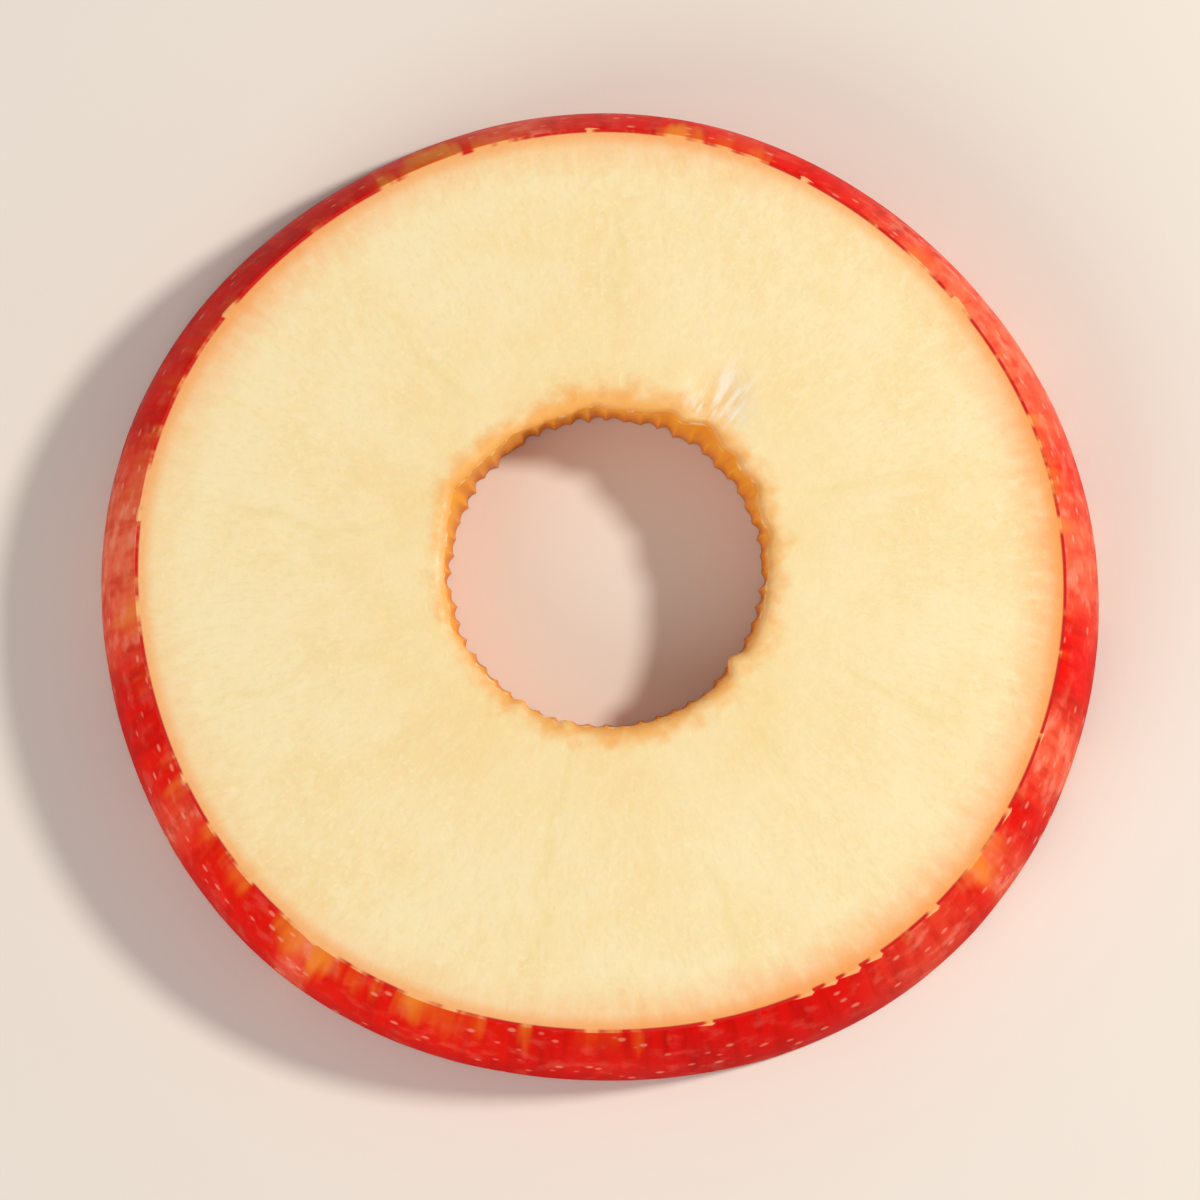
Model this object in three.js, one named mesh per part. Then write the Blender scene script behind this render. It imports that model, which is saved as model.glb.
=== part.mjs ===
// Apple ring: one slice cut across a cored dessert apple, peel left on, lying on its wider cut face.
// Millimetres, +Z up. The ring rests on Z = 0 and is centred on its outline. Angles are degrees
// counterclockwise from +X, seen from above.
import * as THREE from "three";

// Driving dimensions, in millimetres unless a name says otherwise.
const acrossPeel = 76; // mean distance over the peel, on the lower face
const thickness = 9.5; // between the two knife cuts
const appleHalfHeight = 31.2; // of the whole fruit, which sets how the peel curves in
const cutAboveEquator = 2.2; // height of the lower cut over the fruit's widest level
const leanForward = 0.05; // how far the fruit's axis leans to -Y for each millimetre up
const holeDiameter = 23.2; // cut by the corer, measured over the highest ridges at the lower face
const holeShift = { x: 0.45, y: 1.25 }; // the corer missed the middle by this much, on the upper face
const corerLean = 0.085; // its bore moves this much further to +Y for each millimetre down
const holeTaper = 0.6; // the wall stands this much further out below its upper rim
const fluteCount = 56; // scallops that the corer's toothed edge leaves in the wall
const fluteDepth = { least: 0.05, most: 0.44 };
const ridgeSetback = 0.26; // the lowest ridges between scallops stand back by this
const fluteFade = 0.8; // share of that relief lost on the way up to the upper rim
const rimRound = 0.95; // worn upper edge of the hole
const lowerEdgeRound = 0.3; // lower edge of the peel
const upperEdgeRound = 0.1; // its upper edge, which the knife left crisp
const knifeWave = 0.12; // unevenness of the upper cut
const segmentsPerFlute = 4;
const peelBands = 6; // straight steps down the curve of the peel

// Soft lobes of the fruit's outline: how many there are, how high, and where one of them peaks.
const lobes = [
  { count: 2, height: 0.36, peak: -18 },
  { count: 3, height: 0.17, peak: -36 },
  { count: 4, height: 0.1, peak: -29 },
  { count: 5, height: 0.18, peak: 15 },
];

// Places on the upper rim of the hole where the corer tore it: two long worn stretches, then small
// ones. A chip takes the rim back, a burr stands in over the hole. Width is half of one, along the rim.
const tears = [
  { angle: 48, depth: 0.65, width: 9 },
  { angle: 150, depth: 0.5, width: 5.5 },
  { angle: 152, depth: 0.35, width: 1.6 },
  { angle: 125, depth: 0.3, width: 2 },
  { angle: 95, depth: 0.35, width: 1.7 },
  { angle: 68, depth: 0.45, width: 1.5 },
  { angle: 55, depth: 0.8, width: 1.9 },
  { angle: 42, depth: 0.35, width: 1.3 },
  { angle: 30, depth: 0.5, width: 1.6 },
  { angle: 12, depth: 0.3, width: 1.4 },
  { angle: -36, depth: -0.75, width: 1.1 },
  { angle: -104, depth: -0.3, width: 0.8 },
  { angle: -122, depth: -0.35, width: 0.9 },
  { angle: 200, depth: 0.25, width: 1.6 },
];
const wornPatch = { angle: 57, radius: 15.3, reach: 3.8, depth: 0.4 }; // sunk part of the upper face

const fleshColor = new THREE.Color("#f6dfae");
const peelColor = new THREE.Color("#b8241c");

const peelRadius = acrossPeel / 2;
const holeRadius = holeDiameter / 2;
const segments = fluteCount * segmentsPerFlute;
const degree = Math.PI / 180;

// Repeatable random numbers from 0 to 1.
function seededRandom(seed) {
  let state = seed;
  return () => {
    state = (state * 16807) % 2147483647;
    return state / 2147483647;
  };
}

// 1 at the middle of a bump, falling smoothly to 0 at its half width.
function bump(distance, halfWidth) {
  const share = Math.min(1, Math.abs(distance) / halfWidth);
  return (1 + Math.cos(Math.PI * share)) / 2;
}

// Smallest difference between two angles in radians, signed.
function turnBetween(a, b) {
  return Math.atan2(Math.sin(a - b), Math.cos(a - b));
}

// Radius of the peel at a height over the lower cut, on the fruit's rounded side.
function peelRadiusAt(height) {
  const level = (height + cutAboveEquator) / appleHalfHeight;
  const widest = peelRadius / Math.sqrt(1 - (cutAboveEquator / appleHalfHeight) ** 2);
  return widest * Math.sqrt(1 - level ** 2);
}

// The section of the ring as a closed loop of rows: out along the lower face, up the peel, in over
// the upper face and down the wall of the hole.
function sectionRows() {
  const wallTop = holeRadius + holeTaper;
  const rows = [
    { radius: holeRadius, height: 0 },
    { radius: 25, height: 0 },
    { radius: peelRadiusAt(0) - lowerEdgeRound, height: 0, peel: true },
  ];
  for (let band = 0; band <= peelBands; band++) {
    const height = THREE.MathUtils.lerp(lowerEdgeRound, thickness - upperEdgeRound, band / peelBands);
    rows.push({ radius: peelRadiusAt(height), height, peel: true });
  }
  rows.push(
    { radius: peelRadiusAt(thickness) - upperEdgeRound, height: thickness },
    { radius: 29, height: thickness },
    { radius: 22.5, height: thickness },
    { radius: 17, height: thickness },
    { radius: wallTop + rimRound, height: thickness },
    { radius: wallTop + rimRound * 0.3, height: thickness - rimRound * 0.3 },
    { radius: wallTop, height: thickness - rimRound },
    { radius: holeRadius + holeTaper * 0.4, height: thickness * 0.4 },
    rows[0],
  );
  return rows;
}

// How far the fluted wall stands back from the highest ridge at each step round the hole.
function fluteProfile() {
  const random = seededRandom(4127);
  const flutes = Array.from({ length: fluteCount }, () => ({
    depth: THREE.MathUtils.lerp(fluteDepth.least, fluteDepth.most, random()),
    setback: ridgeSetback * random(),
  }));
  return Array.from({ length: segments }, (_, step) => {
    const index = Math.floor(step / segmentsPerFlute);
    const along = (step % segmentsPerFlute) / segmentsPerFlute;
    const flute = flutes[index];
    const next = flutes[(index + 1) % fluteCount];
    const ridges = THREE.MathUtils.lerp(flute.setback, next.setback, along);
    return ridges + flute.depth * Math.sin(Math.PI * along);
  });
}

// Height of the fruit's lobes over a true circle.
function lobeHeight(angle) {
  return lobes.reduce(
    (sum, lobe) => sum + lobe.height * Math.cos(lobe.count * (angle - lobe.peak * degree)),
    0,
  );
}

// How far tears take the hole's upper rim back (or bring it in, where negative).
function tearDepth(angle) {
  return tears.reduce((sum, tear) => {
    const along = turnBetween(angle, tear.angle * degree) * holeRadius;
    return sum + tear.depth * bump(along, tear.width);
  }, 0);
}

// How far the upper face dips at a point: long shallow knife waves and the worn patch by the hole.
function faceDip(angle, radius) {
  const x = radius * Math.cos(angle);
  const y = radius * Math.sin(angle);
  const wave = Math.sin(x / 9 + 0.6) * Math.cos(y / 13) + 0.5 * Math.sin((x - y) / 6);
  const patchX = wornPatch.radius * Math.cos(wornPatch.angle * degree);
  const patchY = wornPatch.radius * Math.sin(wornPatch.angle * degree);
  const worn = wornPatch.depth * bump(Math.hypot(x - patchX, y - patchY), wornPatch.reach);
  return (knifeWave * (1.5 + wave)) / 3 + worn;
}

// Turns the section once round the hole, then gives every vertex its lobe, flute, tear and dip.
function appleRingGeometry() {
  const rows = sectionRows();
  const profile = rows.map((row) => new THREE.Vector2(row.radius, row.height));
  const geometry = new THREE.LatheGeometry(profile, segments, Math.PI / 2);
  const flutes = fluteProfile();
  const position = geometry.getAttribute("position");
  const colors = new Float32Array(position.count * 3);

  for (let index = 0; index < position.count; index++) {
    const step = Math.floor(index / rows.length) % segments;
    const row = rows[index % rows.length];
    const angle = (step / segments) * 2 * Math.PI;

    const outward = (row.radius - holeRadius) / (peelRadius - holeRadius);
    const nearHole = Math.max(0, 1 - (row.radius - holeRadius) / (holeTaper + rimRound * 1.6));
    const nearTop = THREE.MathUtils.smoothstep(row.height, thickness * 0.4, thickness);
    const radius =
      row.radius +
      outward * lobeHeight(angle) +
      nearHole * flutes[step] * (1 - fluteFade * nearTop) +
      (1 - outward) ** 4 * nearTop * tearDepth(angle);
    const boreY = holeShift.y + corerLean * (thickness - row.height);
    const lean = -leanForward * row.height;
    const height = row.height - nearTop * faceDip(angle, row.radius);

    position.setXYZ(
      index,
      radius * Math.cos(angle) + (1 - outward) * holeShift.x,
      height,
      -(radius * Math.sin(angle) + (1 - outward) * boreY + lean),
    );
    (row.peel ? peelColor : fleshColor).toArray(colors, index * 3);
  }

  geometry.setAttribute("color", new THREE.BufferAttribute(colors, 3));
  geometry.rotateX(Math.PI / 2); // the lathe's axis is Y; the ring's is Z
  geometry.computeBoundingBox();
  const middle = geometry.boundingBox.getCenter(new THREE.Vector3());
  geometry.translate(-middle.x, -middle.y, 0);
  geometry.computeVertexNormals();
  return geometry;
}

const appleRing = new THREE.Mesh(
  appleRingGeometry(),
  new THREE.MeshStandardMaterial({ vertexColors: true, roughness: 0.45, metalness: 0 }),
);
appleRing.name = "apple_ring";

const model = new THREE.Group();
model.add(appleRing);

export default model;
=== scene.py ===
import math

import bmesh
import bpy
from mathutils import Matrix, Vector, noise


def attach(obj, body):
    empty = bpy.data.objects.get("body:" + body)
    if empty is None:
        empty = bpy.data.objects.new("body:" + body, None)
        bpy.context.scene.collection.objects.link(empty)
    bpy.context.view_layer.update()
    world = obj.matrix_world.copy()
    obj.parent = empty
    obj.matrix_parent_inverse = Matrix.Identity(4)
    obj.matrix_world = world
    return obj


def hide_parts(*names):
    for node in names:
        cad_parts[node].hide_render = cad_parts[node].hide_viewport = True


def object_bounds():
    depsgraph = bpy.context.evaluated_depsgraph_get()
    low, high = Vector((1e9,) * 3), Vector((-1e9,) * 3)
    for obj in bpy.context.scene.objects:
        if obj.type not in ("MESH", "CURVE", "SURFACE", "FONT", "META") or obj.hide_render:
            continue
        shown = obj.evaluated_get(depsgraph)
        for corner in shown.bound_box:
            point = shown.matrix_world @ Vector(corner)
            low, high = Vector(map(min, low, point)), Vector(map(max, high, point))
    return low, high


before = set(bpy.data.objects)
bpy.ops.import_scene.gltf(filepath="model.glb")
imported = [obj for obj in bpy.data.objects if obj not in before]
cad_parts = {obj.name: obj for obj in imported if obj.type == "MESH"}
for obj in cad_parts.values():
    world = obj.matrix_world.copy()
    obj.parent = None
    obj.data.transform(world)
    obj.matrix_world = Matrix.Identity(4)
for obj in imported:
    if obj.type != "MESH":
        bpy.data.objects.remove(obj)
cadLow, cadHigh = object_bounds()
print("frame loaded")

mm = 0.001

# The slice is one closed mesh: its section is drawn, spun round the core, then every point is moved
# as the fruit's lobes, the corer and the knife would have left it.
# Sizes are millimetres. Angles are degrees counterclockwise from +X, seen from above.
sliceShape = {
    "acrossPeel": 76.0,         # mean distance over the peel, on the lower face
    "thickness": 9.5,
    "appleHalfHeight": 31.2,    # of the whole fruit: sets how the peel curves in
    "cutAboveEquator": 2.2,     # height of the lower cut over the fruit's widest level
    "leanForward": 0.05,        # the fruit's axis leans this far to -Y for each mm up
    "holeDiameter": 23.2,
    "holeShift": (0.45, 1.25),  # on the upper face
    "corerLean": 0.085,         # the bore moves this much further to +Y for each mm down
    "holeTaper": 0.6,           # the wall stands this much further out at its upper rim
    "scallops": 56,             # left in the wall by the corer's toothed edge
    "scallopDepth": (0.05, 0.44),
    "ridgeSetback": 0.26,       # the lowest ridges between scallops stand back by this
    "scallopFade": 0.8,         # share of that relief lost on the way up to the upper rim
    "scallopSeed": 4127,
    "rimRound": 0.95,           # worn upper edge of the hole
    "lowerEdgeRound": 0.3,
    "upperEdgeRound": 0.1,      # the knife left this one crisp
    "knifeWave": 0.12,          # depth of the long waves that the knife left in the upper face
    "waveSize": (9, 13, 6),     # to +X, to +Y, and of the lower waves that cross them
    "wavePhase": 0.6,           # radians
    "crossingHeight": 0.5,      # of the lower waves, as a share of the others
    # how far the marks of the upper face and of the corer carry
    "markedFrom": 0.4,          # share of the thickness at which the upper face's marks begin
    "tearFade": 4,              # power by which a tear dies out away from the hole
    "wallReach": 1.6,           # the wall's relief carries on for this many rim rounds past its top
    "peelEdge": (0.3, 0.05),    # inside the peel, where its dents begin and are whole
    "faceEdge": (0.5, 1.5),     # outside the hole, where a cut face's relief begins and is whole
    # mesh
    "stepsPerScallop": 12,
    "wedges": 14,
    "roundSegments": 4,
    "cuts": {"lower": 14, "peel": 30, "upper": 64, "wall": 20},
    "weld": 0.001,
    "peelSkin": 0.2,            # faces this near the fruit's curve are peel
    "wallSkin": 0.02,           # faces this near the wall's top are cored wall
    # soft lobes of the fruit's outline: how many, how high, where one peaks
    "lobes": [(2, 0.36, -18), (3, 0.17, -36), (4, 0.10, -29), (5, 0.18, 15)],
    # torn places on the hole's upper rim: angle, depth (a burr that stands in is negative), half width
    "tears": [
        (48, 0.65, 9), (150, 0.5, 5.5), (152, 0.35, 1.6), (125, 0.3, 2.0), (95, 0.35, 1.7),
        (68, 0.45, 1.5), (55, 0.8, 1.9), (42, 0.35, 1.3), (30, 0.5, 1.6), (12, 0.3, 1.4),
        (-36, -0.75, 1.1), (-104, -0.3, 0.8), (-122, -0.35, 0.9), (200, 0.25, 1.6),
    ],
    # sunk part of the upper face, where the corer dragged the flesh
    "wornPatch": {"angle": 57, "radius": 15.3, "reach": 3.8, "depth": 0.4},
    # relief that is too small for the solid
    "fibreWidth": 0.9, "fibreLength": 1.8, "fibreDepth": 0.02,
    "grainSize": 0.7, "grainDepth": 0.03,
    "wallGrainSize": 0.5, "wallGrainDepth": 0.1,
    "wallGrainShift": (7, 3, 0),  # so that it isn't the same grain again
    "peelBumpSize": 5.0, "peelBumpDepth": 0.08,
}

# Where each colouring lies, as an attribute that the materials read by its name
slicePaint = {
    # greenish bundles that run out through the flesh: angle, from radius, to radius, half width
    "bundle": [
        (-101, 13.8, 32.0, 0.9), (-70, 23.7, 34.0, 0.8), (-22, 18.9, 30.0, 0.8),
        (-139, 17.0, 22.7, 1.3), (20, 17.0, 26.0, 0.8), (88, 18.0, 29.0, 0.9), (128, 16.0, 27.0, 0.8),
        (170, 19.0, 29.0, 0.8), (-162, 22.0, 31.0, 0.8), (-48, 16.5, 21.5, 1.1),
    ],
    "bundleEnds": ((-1.5, 1.5), (-3, 1)),  # over which one appears at its inner end, fades at its outer
    "bundleWander": 0.06,  # radians
    "wanderSize": 4,
    # where the knife chipped the cut edge of the peel: angle, length along the edge, depth
    "chip": [
        (-64.4, 1.7, 0.3), (-60.9, 1.3, 0.35), (-58, 1.7, 0.4), (-54.6, 1.4, 0.35), (-45.5, 1.5, 0.3),
        (-30.5, 1.8, 0.2), (-20, 1.2, 0.16), (-77, 1.3, 0.2), (-129, 1.4, 0.22), (171, 1.6, 0.25),
        (143, 1.9, 0.3), (91, 1.5, 0.25), (63, 1.2, 0.25), (38, 1.9, 0.3),
    ],
    "wornOutward": 1.7,  # dragged fibres show this much further out than the sunk patch
    # the rest go round the ring: angle, half width in degrees, strength
    "round": {
        # flesh flushed pink next to the peel
        "flush": [
            (5, 60, 1.0), (140, 45, 0.85), (-45, 38, 0.75), (-60, 22, 0.3), (-82, 30, 0.75),
            (-120, 35, 0.3), (-160, 35, 0.3), (85, 45, 0.6),
        ],
        # yellow ground that shows through the peel's red, or its deepest red (negative)
        "ground": [
            (-109, 14, 0.65), (-127, 12, 0.85), (-144, 9, 0.65), (-157, 7, 0.5), (-176, 4, 0.9),
            (168, 11, 0.65), (148, 12, 0.5), (-90, 8, 0.45), (-37, 5, 0.8), (14, 16, 0.5),
            (40, 12, 0.55), (75, 16, 0.6), (112, 18, 0.8), (-72, 14, -0.8),
        ],
        # salmon patches on the peel, partly its own colour and partly painted light: a painted sheen on the
        # lit right side, near 0 degrees, and painted brightening of the shaded left, near 175 degrees
        "salmonAndSheen": [
            (4, 12, 0.75), (34, 30, 0.8), (-20, 9, 0.7), (-35, 5, 0.5), (-48, 12, 0.3), (174, 17, 1.0),
            (-174, 8, 0.3), (-151, 5, 0.4), (-129, 3, 0.5), (100, 10, 0.4),
        ],
        # browned places round the hole's upper rim; on the far side, from about 60 to 125 degrees, the
        # widened tan is partly painted shade
        "brownedAndShaded": [
            (20, 45, 0.33), (68, 38, 0.6), (105, 34, 0.6), (146, 28, 0.4), (-75, 60, 0.36),
            (-25, 40, 0.18), (-130, 25, 0.1),
        ],
    },
}

peelRadius = sliceShape["acrossPeel"] / 2
holeRadius = sliceShape["holeDiameter"] / 2
thickness = sliceShape["thickness"]
skins = {"flesh": 0, "wall": 1, "peel": 2}  # material numbers
paintNames = ("fromPeel", "fromHole", "bundle", "chip", "worn", *slicePaint["round"])


# 1 at the middle, falling smoothly to 0 at the half width
def bump(distance, halfWidth):
    share = min(1.0, abs(distance) / halfWidth)
    return (1 + math.cos(math.pi * share)) / 2


# 0 up to the low value, rising smoothly to 1 at the high one
def smoothStep(value, low, high):
    share = min(1.0, max(0.0, (value - low) / (high - low)))
    return share * share * (3 - 2 * share)


def turnBetween(a, b):
    return math.atan2(math.sin(a - b), math.cos(a - b))


# the fruit's rounded side, at a height over the lower cut
def peelRadiusAt(height):
    halfHeight = sliceShape["appleHalfHeight"]
    atCut = sliceShape["cutAboveEquator"]
    widest = peelRadius / math.sqrt(1 - (atCut / halfHeight) ** 2)
    return widest * math.sqrt(1 - ((height + atCut) / halfHeight) ** 2)


# depth of each scallop in turn, and how far the ridge before it stands back, by a plain repeatable draw
def drawScallops():
    low, high = sliceShape["scallopDepth"]
    state = sliceShape["scallopSeed"]
    multiplier, modulus = 16807, 2147483647
    drawn = []
    for _ in range(sliceShape["scallops"]):
        state = state * multiplier % modulus
        depth = low + (high - low) * state / modulus
        state = state * multiplier % modulus
        drawn.append((depth, sliceShape["ridgeSetback"] * state / modulus))
    return drawn


scallops = drawScallops()


# how far the wall stands back from its highest ridge
def scallopAt(angle):
    place = angle / math.tau * len(scallops)
    index = math.floor(place)
    along = place - index
    depth, setback = scallops[index % len(scallops)]
    nextSetback = scallops[(index + 1) % len(scallops)][1]
    return setback + (nextSetback - setback) * along + depth * math.sin(math.pi * along)


# how far the outline stands out from a true circle
def lobeAt(angle):
    return sum(height * math.cos(count * (angle - math.radians(peak)))
               for count, height, peak in sliceShape["lobes"])


# how far the hole's upper rim is taken back, or stands in where negative
def tearAt(angle):
    total = 0.0
    for place, depth, halfWidth in sliceShape["tears"]:
        total += depth * bump(turnBetween(angle, math.radians(place)) * holeRadius, halfWidth)
    return total


# 1 at the middle of the worn patch, 0 at its reach, which may be stretched away from the hole
def wornAt(angle, radius, outward):
    patch = sliceShape["wornPatch"]
    turned = turnBetween(angle, math.radians(patch["angle"]))
    across, along = radius * math.sin(turned), radius * math.cos(turned) - patch["radius"]
    return bump(math.hypot(across, along / (outward if along > 0 else 1)), patch["reach"])


def bundleAt(angle, radius):
    start, end = slicePaint["bundleEnds"]
    strongest = 0.0
    for place, inner, outer, halfWidth in slicePaint["bundle"]:
        across = turnBetween(angle, math.radians(place)) * radius
        begun = smoothStep(radius, inner + start[0], inner + start[1])
        ended = smoothStep(radius, outer + end[0], outer + end[1])
        strongest = max(strongest, bump(across, halfWidth) * begun * (1 - ended))
    return strongest


# a chip deepens along its length, then ends in a step, like a saw tooth
def chipAt(angle):
    deepest = 0.0
    for place, length, depth in slicePaint["chip"]:
        along = turnBetween(angle, math.radians(place)) * peelRadius / length + 0.5
        if 0 <= along <= 1:
            deepest = max(deepest, depth * along)
    return deepest


# strength of a list of places round the ring
def roundTheRing(places, angle):
    total = 0.0
    for place, halfWidth, strength in places:
        total += strength * bump(turnBetween(angle, math.radians(place)), math.radians(halfWidth))
    return min(1.0, total)


# what depends on the angle alone, worked out once for each step round the ring
def drawSteps():
    count = len(scallops) * sliceShape["stepsPerScallop"]
    drawn = []
    for index in range(count):
        angle = math.tau * index / count
        painted = {name: roundTheRing(places, angle) for name, places in slicePaint["round"].items()}
        drawn.append({
            "angle": angle, "around": Vector((math.cos(angle), math.sin(angle), 0)),
            "scallop": scallopAt(angle), "lobe": lobeAt(angle), "tear": tearAt(angle),
            "chip": chipAt(angle), **painted,
        })
    return drawn


ringSteps = drawSteps()


# how far the knife left the upper face below its highest level
def knifeDip(x, y):
    sizeX, sizeY, crossingSize = sliceShape["waveSize"]
    crossing = sliceShape["crossingHeight"]
    wave = math.sin(x / sizeX + sliceShape["wavePhase"]) * math.cos(y / sizeY)
    wave += crossing * math.sin((x - y) / crossingSize)
    return sliceShape["knifeWave"] * (1 + crossing + wave) / (2 * (1 + crossing))


# half of the ring cut through, as a closed wire with x as the radius
def drawSection(bm):
    wallTop = holeRadius + sliceShape["holeTaper"]
    corners = [(holeRadius, 0), (peelRadiusAt(0), 0),
               (peelRadiusAt(thickness), thickness), (wallTop, thickness)]
    hole, lowerEdge, upperEdge, rim = [bm.verts.new((radius, 0, height)) for radius, height in corners]
    for pair in ((hole, lowerEdge), (lowerEdge, upperEdge), (upperEdge, rim), (rim, hole)):
        bm.edges.new(pair)
    for corner, offset in ((lowerEdge, "lowerEdgeRound"), (upperEdge, "upperEdgeRound"), (rim, "rimRound")):
        bmesh.ops.bevel(
            bm, geom=[corner], affect="VERTICES", offset=sliceShape[offset],
            segments=sliceShape["roundSegments"], profile=0.5, material=-1,
        )

    # the straight stretches are cut up; the edges of the rounded corners are all shorter
    shortest, nearFace = 2, 1
    stretches = {"lower": [], "peel": [], "upper": [], "wall": []}
    for edge in bm.edges:
        if edge.calc_length() < shortest:
            continue
        middle = (edge.verts[0].co + edge.verts[1].co) / 2
        if middle.z < nearFace:
            stretches["lower"].append(edge)
        elif middle.z > thickness - nearFace:
            stretches["upper"].append(edge)
        elif middle.x > peelRadius / 2:
            stretches["peel"].append(edge)
        else:
            stretches["wall"].append(edge)
    for name, edges in stretches.items():
        bmesh.ops.subdivide_edges(bm, edges=edges, cuts=sliceShape["cuts"][name])

    # between its rounded edges the peel goes out to the fruit's curve
    hair = 0.01
    lowest = sliceShape["lowerEdgeRound"] + hair
    highest = thickness - sliceShape["upperEdgeRound"] - hair
    for v in bm.verts:
        if v.co.x > peelRadius / 2 and lowest < v.co.z < highest:
            v.co.x = peelRadiusAt(v.co.z)


# what the flesh and peel show at one point, by its step round the plain ring and its radius there
def paintPoint(v, layers, step, radius, nearTop):
    wander = slicePaint["bundleWander"] * noise.noise(v.co / slicePaint["wanderSize"])
    v[layers["bundle"]] = bundleAt(step["angle"] + wander, radius)
    v[layers["worn"]] = nearTop * wornAt(step["angle"], radius, slicePaint["wornOutward"])
    for name in ("chip", *slicePaint["round"]):
        v[layers[name]] = step[name]


# moves one point of the plain ring to where fruit, corer and knife put it, then paints it
def shapePoint(v, layers):
    shape = sliceShape
    radius, height = math.hypot(v.co.x, v.co.y), v.co.z
    turn = math.atan2(v.co.y, v.co.x) / math.tau
    step = ringSteps[round(turn * len(ringSteps)) % len(ringSteps)]
    around = step["around"]

    outward = (radius - holeRadius) / (peelRadius - holeRadius)
    nearTop = smoothStep(height, thickness * shape["markedFrom"], thickness)
    wallReach = shape["holeTaper"] + shape["rimRound"] * shape["wallReach"]
    nearHole = max(0.0, 1 - (radius - holeRadius) / wallReach)
    onPeel = smoothStep(radius, *[peelRadiusAt(height) - depth for depth in shape["peelEdge"]])
    onFace = (1 - onPeel) * smoothStep(radius, *[holeRadius + past for past in shape["faceEdge"]])
    fromPeel = peelRadiusAt(height) - radius
    fromHole = radius - holeRadius - shape["holeTaper"]

    # place on the skin laid out flat: round the ring, and from the lower face up the peel and inward
    unrolled = around * peelRadius
    inward = fromPeel if height > thickness / 2 else -fromPeel
    unrolled.z = height + (inward if onFace > 0.5 else 0)

    # fine relief, which only ever takes flesh away
    fibre = noise.noise(Vector((
        unrolled.x / shape["fibreWidth"], unrolled.y / shape["fibreWidth"], radius / shape["fibreLength"],
    )))
    grain = noise.noise(v.co / shape["grainSize"])
    wallGrain = noise.noise(v.co / shape["wallGrainSize"] + Vector(shape["wallGrainShift"]))
    peelBump = noise.noise(v.co / shape["peelBumpSize"])
    sunk = outward * shape["fibreDepth"] * (1 + fibre) + shape["grainDepth"] * (1 + grain)
    roughWall = nearHole * shape["wallGrainDepth"] * (1 + wallGrain) / 2
    peelDent = onPeel * shape["peelBumpDepth"] * (1 + peelBump) / 2

    scallop = step["scallop"] * (1 - shape["scallopFade"] * nearTop)
    moved = radius + outward * step["lobe"] + nearHole * scallop + roughWall - peelDent
    moved += (1 - outward) ** shape["tearFade"] * nearTop * step["tear"]
    worn = shape["wornPatch"]["depth"] * wornAt(step["angle"], radius, 1)
    dip = knifeDip(radius * around.x, radius * around.y) + worn + onFace * sunk
    shiftX, shiftY = shape["holeShift"]
    shiftY += shape["corerLean"] * (thickness - height)
    v.co = Vector((
        moved * around.x + (1 - outward) * shiftX,
        moved * around.y + (1 - outward) * shiftY - shape["leanForward"] * height,
        height - nearTop * dip,
    ))

    v[layers["unrolled"]] = unrolled * mm
    v[layers["fromPeel"]] = fromPeel
    v[layers["fromHole"]] = fromHole
    paintPoint(v, layers, step, radius, nearTop)


# spins one wedge and copies it round, which is far quicker than one spin of so many steps
def spinSection(bm):
    wedges = sliceShape["wedges"]
    bmesh.ops.spin(
        bm, geom=bm.verts[:] + bm.edges[:], cent=(0, 0, 0), axis=(0, 0, 1), dvec=(0, 0, 0),
        angle=math.tau / wedges, steps=len(ringSteps) // wedges, use_merge=False,
    )
    wedge = bm.verts[:] + bm.edges[:] + bm.faces[:]
    for turn in range(1, wedges):
        copied = bmesh.ops.duplicate(bm, geom=wedge)["geom"]
        bmesh.ops.rotate(
            bm, cent=(0, 0, 0), matrix=Matrix.Rotation(math.tau * turn / wedges, 3, "Z"),
            verts=[part for part in copied if isinstance(part, bmesh.types.BMVert)],
        )
    bmesh.ops.remove_doubles(bm, verts=bm.verts, dist=sliceShape["weld"])
    bmesh.ops.recalc_face_normals(bm, faces=bm.faces)


# gives every face its skin, which is easy to tell while the ring is still plain
def tellSkins(bm):
    wallOuter = holeRadius + sliceShape["holeTaper"] + sliceShape["wallSkin"]
    for face in bm.faces:
        middle = face.calc_center_median()
        radius = math.hypot(middle.x, middle.y)
        face.smooth = True
        face.material_index = skins["flesh"]
        if radius > peelRadiusAt(middle.z) - sliceShape["peelSkin"]:
            face.material_index = skins["peel"]
        elif radius < wallOuter:
            face.material_index = skins["wall"]


def makeSlice():
    bm = bmesh.new()
    drawSection(bm)
    layers = {name: bm.verts.layers.float.new(name) for name in paintNames}
    layers["unrolled"] = bm.verts.layers.float_vector.new("unrolled")
    spinSection(bm)
    tellSkins(bm)
    for v in bm.verts:
        shapePoint(v, layers)

    mesh = bpy.data.meshes.new("appleRing")
    bm.to_mesh(mesh)
    bm.free()

    # millimetres to metres, and centred on the solid's own outline
    mesh.transform(Matrix.Scale(mm, 4))
    xs = [v.co.x for v in mesh.vertices]
    ys = [v.co.y for v in mesh.vertices]
    middle = (cadLow + cadHigh) / 2
    shift = Vector((middle.x - (min(xs) + max(xs)) / 2, middle.y - (min(ys) + max(ys)) / 2, 0))
    mesh.transform(Matrix.Translation(shift))
    piece = bpy.data.objects.new("appleRing", mesh)
    bpy.context.scene.collection.objects.link(piece)
    print("slice:", len(mesh.vertices), "points,", len(mesh.polygons), "faces")
    return piece


# an sRGB hex value as linear colour
def fromHex(code):
    parts = [int(code[i:i + 2], 16) / 255 for i in (1, 3, 5)]
    return [c / 12.92 if c <= 0.04045 else ((c + 0.055) / 1.055) ** 2.4 for c in parts] + [1.0]


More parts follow.
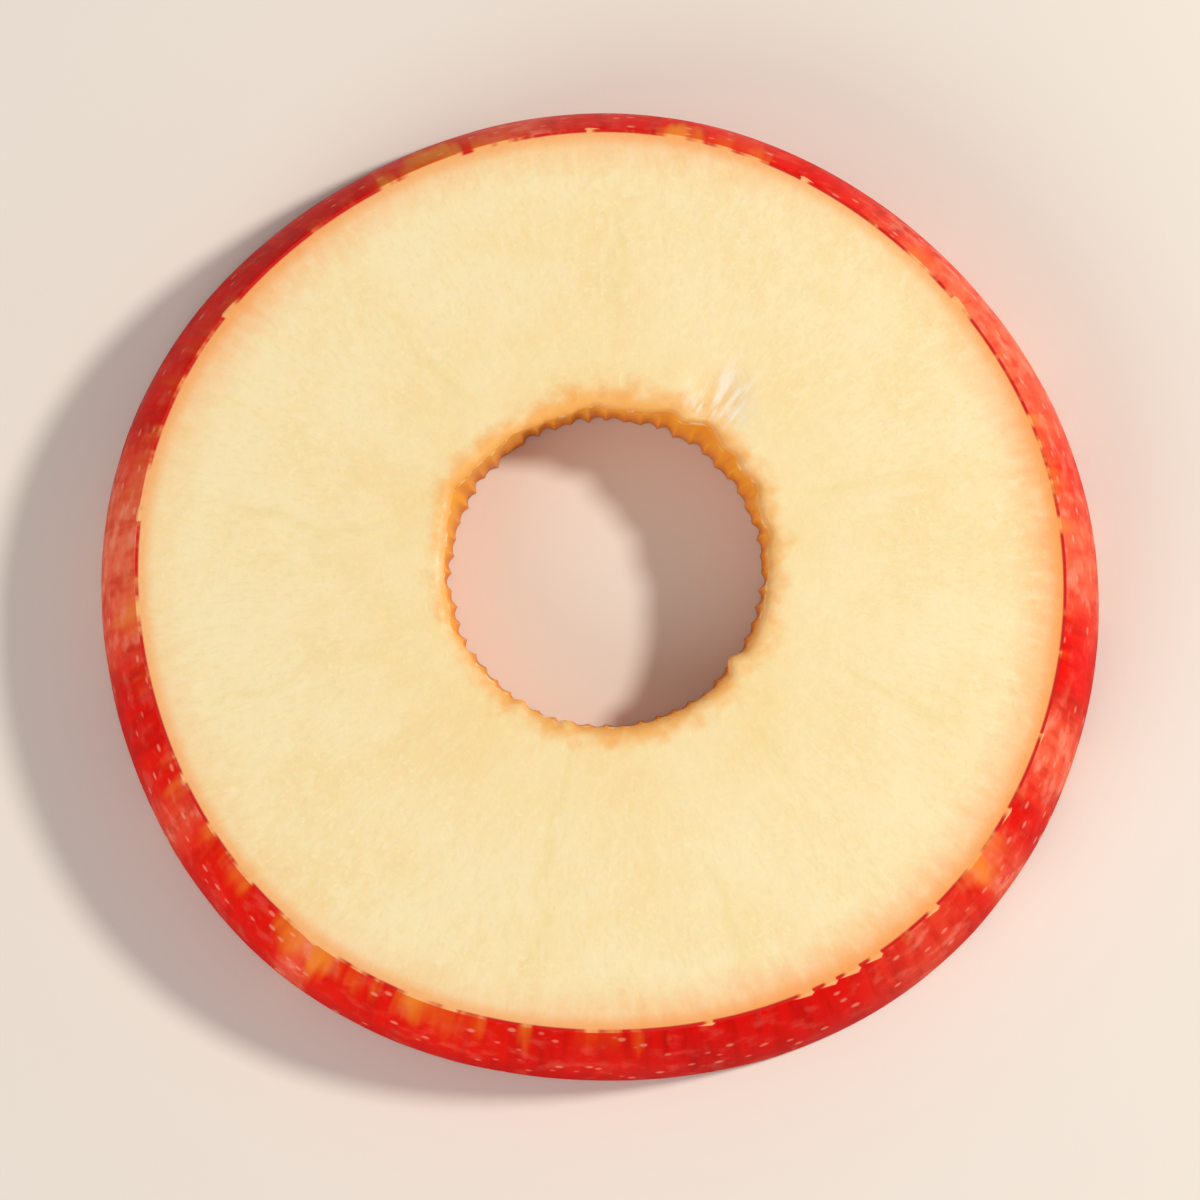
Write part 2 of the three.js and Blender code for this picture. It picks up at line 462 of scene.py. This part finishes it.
# adds a node with its settings, then fills its inputs, given in their order or by name: each takes a
# value, or a link from a socket or from a node's result
def addNode(tree, kind, inputs=(), **settings):
    node = tree.nodes.new(kind)
    for name, value in settings.items():
        setattr(node, name, value)
    if not isinstance(inputs, dict):
        inputs = dict(enumerate(inputs))
    for socket, value in inputs.items():
        if isinstance(value, bpy.types.Node):
            value = next(output for output in value.outputs if output.enabled)
        if isinstance(value, bpy.types.NodeSocket):
            tree.links.new(value, node.inputs[socket])
        else:
            node.inputs[socket].default_value = value
    return node


smooth = {"interpolation_type": "SMOOTHSTEP"}  # for every Map Range node


def newMaterial(name):
    material = bpy.data.materials.new(name)
    material.use_nodes = True
    material.node_tree.nodes.clear()
    return material, material.node_tree


# the slice's attributes by name: its painted amounts, its skin laid out flat, and the height on that
def readSlice(tree):
    amounts = {name: addNode(tree, "ShaderNodeAttribute", attribute_name=name).outputs["Fac"]
               for name in paintNames}
    amounts["skin"] = addNode(tree, "ShaderNodeAttribute", attribute_name="unrolled").outputs["Vector"]
    amounts["up"] = addNode(tree, "ShaderNodeSeparateXYZ", [amounts["skin"]]).outputs["Z"]
    return amounts


# scale at which a pattern's blotches are so many millimetres across and along
def patternScale(across, along):
    return 1 / mm / across, 1 / mm / across, 1 / mm / along


# a finish's patterns by name, each with its size across and along in millimetres, and its detail
def drawPatterns(tree, source, patterns):
    drawn = {}
    for name, (across, along, detail) in patterns.items():
        sized = addNode(tree, "ShaderNodeMapping", {"Vector": source, "Scale": patternScale(across, along)})
        drawn[name] = addNode(tree, "ShaderNodeTexNoise", {"Vector": sized, "Scale": 1.0, "Detail": detail})
    return drawn


# lays colours over a base, bottom first. A layer has its colour, the amount that it follows, where that
# starts and ends, how much of the colour shows there, and an amount that holds it back, or None.
# A Mix node has its share at input 0 and its colours at 6 and 7.
def layColours(tree, colour, layers, colours, amounts):
    for over, follows, start, end, atStart, atEnd, within in layers:
        heldBack = 1.0 if within is None else amounts[within]
        share = addNode(tree, "ShaderNodeMapRange", [amounts[follows], start, end, atStart, atEnd],
                        **smooth)
        share = addNode(tree, "ShaderNodeMath", [share, heldBack], operation="MULTIPLY")
        colour = addNode(tree, "ShaderNodeMix", {0: share, 6: colour, 7: colours[over]},
                         data_type="RGBA")
    return colour


# what every skin has besides its colour: relief, gloss, and the shader itself
def addSurface(tree, look, colour, amounts):
    follows, height, strength = look["bump"]
    bumped = addNode(tree, "ShaderNodeBump", {
        "Height": amounts[follows], "Distance": height, "Strength": strength,
    })
    follows, *ramp = look["roughness"]
    roughness = addNode(tree, "ShaderNodeMapRange", [amounts[follows], *ramp], **smooth)
    shader = addNode(tree, "ShaderNodeBsdfPrincipled", {
        "Base Color": colour, "Roughness": roughness, "Normal": bumped, **look["shader"],
    })
    addNode(tree, "ShaderNodeOutputMaterial", {"Surface": shader})


# Yellow shows between red stripes that run up the fruit, mostly high up, and more where it is painted.
# A ramp, here and in the finishes, is where it starts and ends, then its amount at the start and the end.
stripes = {
    "patterns": {"broad": (1.7, 14, 2.0), "fine": (0.5, 9, 1.0)},
    "byHeight": (2 * mm, thickness * mm, -0.28, 0.05),
    "shares": {"broad": 1.0, "fine": 0.1, "ground": 0.4},
    "shown": (0.62, 1.0),
}


def groundShown(tree, amounts):
    adding = {**amounts, **drawPatterns(tree, amounts["skin"], stripes["patterns"])}
    level = addNode(tree, "ShaderNodeMapRange", [amounts["up"], *stripes["byHeight"]], **smooth)
    for name, share in stripes["shares"].items():
        level = addNode(tree, "ShaderNodeMath", [adding[name], share, level], operation="MULTIPLY_ADD")
    return addNode(tree, "ShaderNodeMapRange", [level, *stripes["shown"]], **smooth)


fleshFinish = {
    "colours": {
        "pale": "#fdebbf", "yellow": "#f7d996", "green": "#eedc98", "peach": "#fcae6c",
        "rim": "#f3a840", "underPeel": "#f6a04a", "cutPeel": "#cc1812", "fibreGlint": "#fff6e4",
    },
    # broken cells are about 0.2 mm, drawn twice as coarse so that they show
    "cells": {"mottle": (7, 7, 2.0), "grain": (0.4, 0.4, 2.0), "stain": (1.6, 1.6, 3.0)},
    # threads and puffs run from core to peel
    "threads": {"cotton": (1.1, 2.0, 2.0), "fibre": (0.45, 0.9, 2.0), "flecks": (1.3, 3.2, 2.0)},
    "outer": (2.0, 13.0, 0.25, 1.0),  # ramp over the mm from the hole, to cottony flesh
    "yellowness": (0.2, 0.8, 0.2, 0.75),  # ramp over the mottle
    "outerYellowness": -0.25,  # what outer flesh adds to it
    "pinkRagged": 2.5,  # mm that the border of the pink flesh wanders
    "tanRagged": 3.4,  # and that of the tan flesh
    "tanWideningReach": 2.2,  # mm that browned places widen the tan flesh, which on the far side of the hole is partly painted shade
    "dragged": (0.0, 0.7),  # ramp over the worn patch, to its pale dragged fibres with painted wet glints
    "chipped": (0.05, 0.2),  # ramp over a chip's depth in mm, to peel that has lost its red
    "layers": [
        ("pale", "cotton", 0.5, 0.72, 0.0, 0.8, "outer"),
        ("green", "fibre", 0.3, 0.5, 0.3, 0.0, "outer"),
        # pale flecks over the grain: the cells' own paler tone, with painted glints
        ("pale", "grain", 0.54, 0.7, 0.0, 0.85, "outer"),
        ("green", "cotton", 0.3, 0.6, 0.0, 0.45, "bundle"),
        ("peach", "pinkTo", 0.6, 6.0, 1.0, 0.0, "flush"),
        ("rim", "tanTo", 0.8, 3.6, 0.8, 0.0, None),
        # tan over the worn patch: partly the dragged flesh's own tint, partly painted shade
        ("rim", "worn", 0.1, 1.0, 0.0, 0.35, None),
        # pale dragged fibres in the worn patch, with painted wet glints on them
        ("fibreGlint", "flecks", 0.38, 0.66, 0.0, 0.75, "dragged"),
        ("underPeel", "fromPeel", 0.4, 1.7, 0.6, 0.0, None),
        ("cutPeel", "fromPeel", 0.3, 0.46, 1.0, 0.0, "redKept"),
    ],
    "bump": ("grain", 0.05 * mm, 1.0),  # what it follows, its height and its strength
    "roughness": ("grain", 0.35, 0.65, 0.34, 0.58),  # what it follows, and its ramp
    "shader": {
        "IOR": 1.38,
        "Subsurface Weight": 0.35, "Subsurface Radius": (1.0, 0.66, 0.3), "Subsurface Scale": 1.4 * mm,
    },
}


# Crisp, moist flesh under the knife: broken cells that scatter light and glint a little
def makeFlesh():
    look = fleshFinish
    material, tree = newMaterial("apple flesh, knife cut")
    colours = {name: fromHex(code) for name, code in look["colours"].items()}
    place = addNode(tree, "ShaderNodeTexCoord").outputs["Object"]
    amounts = readSlice(tree)
    amounts.update(drawPatterns(tree, place, look["cells"]))
    amounts.update(drawPatterns(tree, amounts["skin"], look["threads"]))

    # smooth and yellow by the core, paler and cottony towards the peel
    outer = addNode(tree, "ShaderNodeMapRange", [amounts["fromHole"], *look["outer"]], **smooth)
    yellowness = addNode(tree, "ShaderNodeMapRange", [amounts["mottle"], *look["yellowness"]], **smooth)
    yellowness = addNode(tree, "ShaderNodeMath", [outer, look["outerYellowness"], yellowness],
                         operation="MULTIPLY_ADD")
    colour = addNode(tree, "ShaderNodeMix", {
        0: yellowness, 6: colours["pale"], 7: colours["yellow"],
    }, data_type="RGBA")

    # pink next to the peel, and tan round the hole, both with a ragged border
    pinkTo = addNode(tree, "ShaderNodeMath", [amounts["cotton"], look["pinkRagged"], amounts["fromPeel"]],
                     operation="MULTIPLY_ADD")
    tanTo = addNode(tree, "ShaderNodeMath", [amounts["stain"], look["tanRagged"], amounts["fromHole"]],
                    operation="MULTIPLY_ADD")
    # browned places widen the tan; on the far side of the hole that tan is partly painted shade
    tanTo = addNode(tree, "ShaderNodeMath", [amounts["brownedAndShaded"], -look["tanWideningReach"], tanTo],
                    operation="MULTIPLY_ADD")
    dragged = addNode(tree, "ShaderNodeMapRange", [amounts["worn"], *look["dragged"]], **smooth)

    # the peel's own thickness is red, but for its yellow ground and the chips
    redLost = addNode(tree, "ShaderNodeMapRange", [amounts["chip"], *look["chipped"]], **smooth)
    redLost = addNode(tree, "ShaderNodeMath", [redLost, groundShown(tree, amounts)], operation="ADD")
    redKept = addNode(tree, "ShaderNodeMapRange", [redLost, 0.0, 1.0, 1.0, 0.0], **smooth)

    amounts.update(outer=outer, pinkTo=pinkTo, tanTo=tanTo, dragged=dragged, redKept=redKept)
    colour = layColours(tree, colour, look["layers"], colours, amounts)
    addSurface(tree, look, colour, amounts)
    return material


wallFinish = {
    "colours": {"pale": "#f2a42a", "deep": "#da7810", "torn": "#fddca0"},
    "patterns": {"smear": (1.1, 4.0, 2.0), "tear": (2.4, 0.8, 2.0)},
    "smearReach": 8 * mm,  # how far up and down the smears carry the colours
    "nearRim": (7.5 * mm, 9 * mm),  # ramp over the height
    "layers": [
        # deep orange low in the hole, paler towards the rim: painted shade in the hole; the strong orange
        # is partly the cored flesh's browning and partly painted warm bounce light
        ("pale", "uneven", 4 * mm, 13 * mm, 0.0, 1.0, None),
        ("torn", "tear", 0.54, 0.62, 0.0, 1.0, "nearRim"),
    ],
    "bump": ("smear", 0.04 * mm, 0.6),
    "roughness": ("smear", 0.3, 0.7, 0.35, 0.55),
    "shader": {
        "IOR": 1.38, "Specular IOR Level": 0.12,
        "Subsurface Weight": 0.8, "Subsurface Radius": (1.0, 0.7, 0.3), "Subsurface Scale": 2.6 * mm,
    },
}


# Flesh crushed by the corer: browner, wetter and streaked up and down, and darker low in the hole as
# painted shade, so the wall reads deeper
def makeWall():
    look = wallFinish
    material, tree = newMaterial("apple flesh, cored")
    colours = {name: fromHex(code) for name, code in look["colours"].items()}
    amounts = readSlice(tree)
    amounts.update(drawPatterns(tree, amounts["skin"], look["patterns"]))
    uneven = addNode(tree, "ShaderNodeMath", [amounts["smear"], look["smearReach"], amounts["up"]],
                     operation="MULTIPLY_ADD")
    nearRim = addNode(tree, "ShaderNodeMapRange", [amounts["up"], *look["nearRim"]], **smooth)
    amounts.update(uneven=uneven, nearRim=nearRim)
    colour = layColours(tree, colours["deep"], look["layers"], colours, amounts)
    addSurface(tree, look, colour, amounts)
    return material


peelFinish = {
    "colours": {
        "red": "#e6110a", "deepRed": "#b80605", "vermilion": "#fa2208", "orange": "#ee4c12",
        "yellow": "#f68a2c", "salmonAndSheen": "#f97a56", "pale": "#fda088", "lenticel": "#fdb096",
        "chip": "#fbb078",
    },
    "patterns": {"cloud": (7, 9, 2.0), "streak": (1.1, 9.0, 2.0), "mottle": (1.7, 1.7, 3.0)},
    "poreSpacing": (2.0, 1.6),  # mm round and up
    "paler": (0.0, 0.5, 0.12, 0.5),  # ramp over the salmon patches, to a pale mottle that is partly painted glints
    "redLayers": [
        ("red", "streak", 0.2, 0.6, 0.25, 1.0, None),
        ("vermilion", "ground", -0.3, 0.8, 0.0, 0.45, None),
        # deeper red at the foot of the peel, fading out by 5 mm up: painted shade where the peel turns
        # under towards the floor
        ("deepRed", "up", 0.0, 5 * mm, 0.6, 0.0, None),
    ],
    "groundLayers": [("yellow", "cloud", 0.38, 0.6, 0.0, 1.0, None)],
    # salmon patches, partly painted sheen and light, let the red streaks through; pale strokes over them
    # are partly painted glints;
    # pores fade out at a share of their spacing, and chips show the flesh
    "topLayers": [
        ("salmonAndSheen", "through", 0.7, 1.15, 0.4, 1.0, "salmonAndSheen"),
        # pale strokes: partly paler skin, partly painted glints
        ("pale", "mottle", 0.48, 0.75, 0.0, 1.0, "paler"),
        ("lenticel", "pores", 0.088, 0.22, 0.45, 0.0, None),
        ("chip", "bitten", thickness * mm, (thickness + 0.1) * mm, 0.0, 1.0, None),
    ],
    "bump": ("mottle", 0.04 * mm, 0.6),
    "roughness": ("cloud", 0.3, 0.7, 0.3, 0.42),
    "shader": {"IOR": 1.43, "Specular IOR Level": 0.01},
}


# Red-striped dessert apple skin with its own wax: colour runs in streaks up the fruit, with pale pores
def makePeel():
    look = peelFinish
    material, tree = newMaterial("apple peel, naturally waxed")
    colours = {name: fromHex(code) for name, code in look["colours"].items()}
    amounts = readSlice(tree)
    amounts.update(drawPatterns(tree, amounts["skin"], look["patterns"]))

    redSkin = layColours(tree, colours["deepRed"], look["redLayers"], colours, amounts)
    ground = layColours(tree, colours["orange"], look["groundLayers"], colours, amounts)
    colour = addNode(tree, "ShaderNodeMix", {
        0: groundShown(tree, amounts), 6: redSkin, 7: ground,
    }, data_type="RGBA")

    through = addNode(tree, "ShaderNodeMath", [amounts["mottle"], amounts["streak"]], operation="ADD")
    paler = addNode(tree, "ShaderNodeMapRange", [amounts["salmonAndSheen"], *look["paler"]], **smooth)
    spaced = addNode(tree, "ShaderNodeMapping", {
        "Vector": amounts["skin"], "Scale": patternScale(*look["poreSpacing"]),
    })
    pores = addNode(tree, "ShaderNodeTexVoronoi", {"Vector": spaced, "Scale": 1.0})
    bitten = addNode(tree, "ShaderNodeMath", [amounts["chip"], mm, amounts["up"]], operation="MULTIPLY_ADD")
    amounts.update(through=through, paler=paler, pores=pores, bitten=bitten)
    colour = layColours(tree, colour, look["topLayers"], colours, amounts)
    addSurface(tree, look, colour, amounts)
    return material


piece = makeSlice()
for makeSkin in (makeFlesh, makeWall, makePeel):  # in the order of their numbers
    piece.data.materials.append(makeSkin())
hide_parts("apple_ring")
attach(piece, "root")
print("materials made")

floorFinish = {"radius": 2.5, "sides": 96, "colour": "#ebe6df", "roughness": 0.8}


# Matt card: pale and even, so that it only takes the slice's shadow
def makeFloor():
    look = floorFinish
    mesh = bpy.data.meshes.new("floor")
    bm = bmesh.new()
    bmesh.ops.create_circle(bm, cap_ends=True, segments=look["sides"], radius=look["radius"])
    bm.to_mesh(mesh)
    bm.free()
    material, tree = newMaterial("studio card, matt")
    shader = addNode(tree, "ShaderNodeBsdfPrincipled", {
        "Base Color": fromHex(look["colour"]), "Roughness": look["roughness"],
    })
    addNode(tree, "ShaderNodeOutputMaterial", {"Surface": shader})
    mesh.materials.append(material)
    floor = bpy.data.objects.new("floor", mesh)
    bpy.context.scene.collection.objects.link(floor)
    return floor


makeFloor()
print("floor laid")

# one soft key from the right and a little behind, a weak fill opposite and an even pale room
studio = {
    "aim": (0, -1.2 * mm, 5 * mm),
    "softBoxes": [
        {"name": "keyLight", "azimuth": 16, "elevation": 42, "distance": 0.6, "size": 0.08, "watts": 2.7,
         "colour": "#fff6ea"},
        {"name": "fillLight", "azimuth": -130, "elevation": 28, "distance": 0.8, "size": 0.6, "watts": 3.0,
         "colour": "#fffaf4"},
    ],
    "room": "#f4f1ee", "roomStrength": 0.36,
    "elevation": 80, "lens": 500, "frameWidth": 91.5 * mm, "clip": (0.01, 20),
}


# puts a lamp or camera this far from the slice, looking at it
def placeFrom(name, data, towards, distance):
    placed = bpy.data.objects.new(name, data)
    placed.location = Vector(studio["aim"]) + towards * distance
    placed.rotation_euler = towards.to_track_quat("Z", "Y").to_euler()
    bpy.context.scene.collection.objects.link(placed)
    return placed


def direction(azimuth, elevation):
    a, e = math.radians(azimuth), math.radians(elevation)
    return Vector((math.cos(a) * math.cos(e), math.sin(a) * math.cos(e), math.sin(e)))


def lightAndFrame():
    for box in studio["softBoxes"]:
        lamp = bpy.data.lights.new(box["name"], "AREA")
        lamp.shape = "DISK"
        lamp.size = box["size"]
        lamp.energy = box["watts"]
        lamp.color = fromHex(box["colour"])[:3]
        placeFrom(box["name"], lamp, direction(box["azimuth"], box["elevation"]), box["distance"])

    world = bpy.data.worlds.new("studio")
    world.use_nodes = True
    background = world.node_tree.nodes["Background"]
    background.inputs["Color"].default_value = fromHex(studio["room"])
    background.inputs["Strength"].default_value = studio["roomStrength"]
    scene = bpy.context.scene
    scene.world = world
    scene.view_settings.view_transform = "Standard"

    camera = bpy.data.cameras.new("camera")
    camera.lens = studio["lens"]
    camera.clip_start, camera.clip_end = studio["clip"]
    distance = studio["frameWidth"] * camera.lens / camera.sensor_width
    scene.camera = placeFrom("camera", camera, direction(-90, studio["elevation"]), distance)


lightAndFrame()
print("lights and camera placed")
